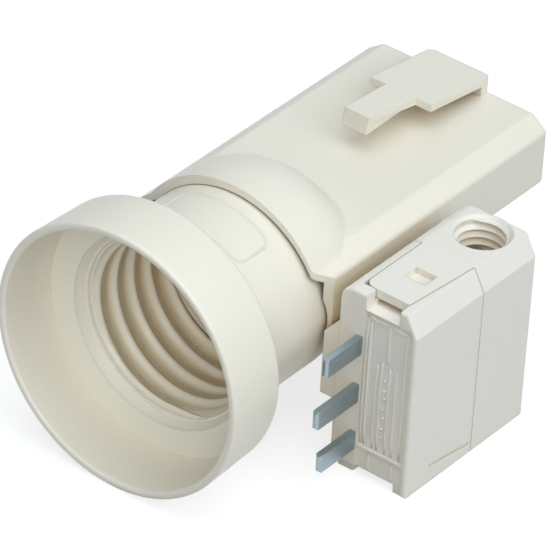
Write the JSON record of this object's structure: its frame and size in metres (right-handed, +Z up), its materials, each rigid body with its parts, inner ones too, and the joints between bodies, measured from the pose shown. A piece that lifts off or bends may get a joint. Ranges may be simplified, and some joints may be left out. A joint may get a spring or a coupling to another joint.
{
  "type": "lamp holder with plug",
  "caption": "White screw-base lamp holder with a wide skirt, a domed flat housing with a T-shaped key, and its separate flat pin plug with a slide-off hood.",
  "frame": {"origin": "on the lamp's axis at the mouth of the lamp thread", "axes": "-Y along the lamp's axis out of the mouth, +X to the right of someone facing the mouth, +Z up"},
  "size_m": [0.0527, 0.0765, 0.0414],
  "materials": {
    "white_moulding": "semi-gloss moulded thermoplastic",
    "grey_insulator": "matt moulded insulator",
    "plated_pin": "dull nickel plate",
    "spring_brass": "bright rolled strip",
    "zinc_screw": "zinc plated"
  },
  "bodies": {
    "holder_and_plug": {"lamp_barrel": "white_moulding", "holder_housing": "white_moulding", "base_plate": "white_moulding", "contact_carrier": "grey_insulator", "centre_contact": "spring_brass", "side_contact": "spring_brass", "contact_rivets": "spring_brass", "line_lead": "spring_brass", "neutral_lead": "spring_brass", "line_clip": "spring_brass", "neutral_clip": "spring_brass", "clip_block": "grey_insulator", "plug_base": "white_moulding", "line_pin": "plated_pin", "earth_pin": "plated_pin", "neutral_pin": "plated_pin"},
    "hood": {"plug_hood": "white_moulding"},
    "line_screw": {"line_screw": "zinc_screw"},
    "earth_screw": {"earth_screw": "zinc_screw"},
    "neutral_screw": {"neutral_screw": "zinc_screw"}
  },
  "joints": [
    {"name": "hood_slide", "type": "slide", "parent": "holder_and_plug", "child": "hood", "axis": [0, 1, 0], "range_m": [0, 0.025]},
    {"name": "line_screw_turn", "type": "hinge", "parent": "holder_and_plug", "child": "line_screw", "pos_m": [0.02625, 0.0317, 0.0009], "axis": [1, 0, 0], "continuous": true},
    {"name": "earth_screw_turn", "type": "hinge", "parent": "holder_and_plug", "child": "earth_screw", "pos_m": [0.02625, 0.0317, -0.0071], "axis": [1, 0, 0], "continuous": true},
    {"name": "neutral_screw_turn", "type": "hinge", "parent": "holder_and_plug", "child": "neutral_screw", "pos_m": [0.02625, 0.0317, -0.0151], "axis": [1, 0, 0], "continuous": true}
  ]
}
